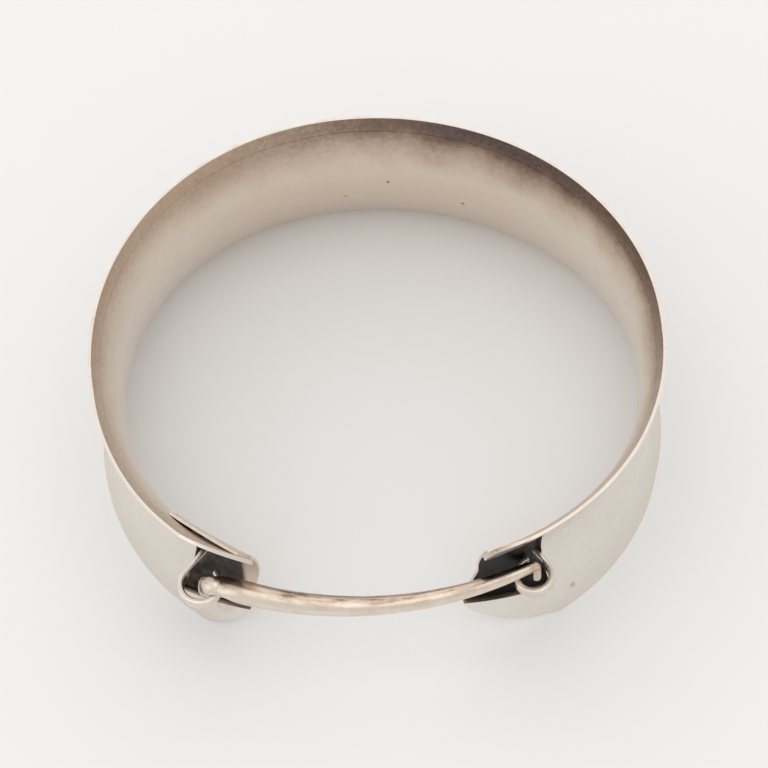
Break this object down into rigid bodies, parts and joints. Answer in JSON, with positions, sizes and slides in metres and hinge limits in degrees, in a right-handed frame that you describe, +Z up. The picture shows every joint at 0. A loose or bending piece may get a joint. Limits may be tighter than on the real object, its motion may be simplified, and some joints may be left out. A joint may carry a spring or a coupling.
{
  "type": "hinged clasp bangle bracelet",
  "caption": "Open silver bangle of waisted sheet with a bowed clasp bar, hinged on one end loop and hooked in the other.",
  "frame": {"origin": "centre of the footprint, on the plane that the lower rim stands on", "axes": "+Z up along the wrist, from the lower rim to the upper rim; +Y from the clasp gap to the back of the ring; +X from the hinge side to the hook side"},
  "size_m": [0.0648, 0.0578, 0.0222],
  "materials": {
    "silver": "worn hand-finished silver",
    "aged_silver": "dark tarnish, unpolished"
  },
  "bodies": {
    "cuff": {"cuff_band": "silver", "left_backing_plate": "aged_silver", "right_backing_plate": "aged_silver", "left_loop": "silver", "right_loop": "silver"},
    "bar": {"clasp_bar": "silver"}
  },
  "joints": [
    {"name": "clasp_hinge", "type": "hinge", "parent": "cuff", "child": "bar", "pos_m": [-0.01804, -0.02407, 0.0104], "axis": [-0.0333, -0.9531, -0.3007], "range_deg": [0, 70]}
  ]
}
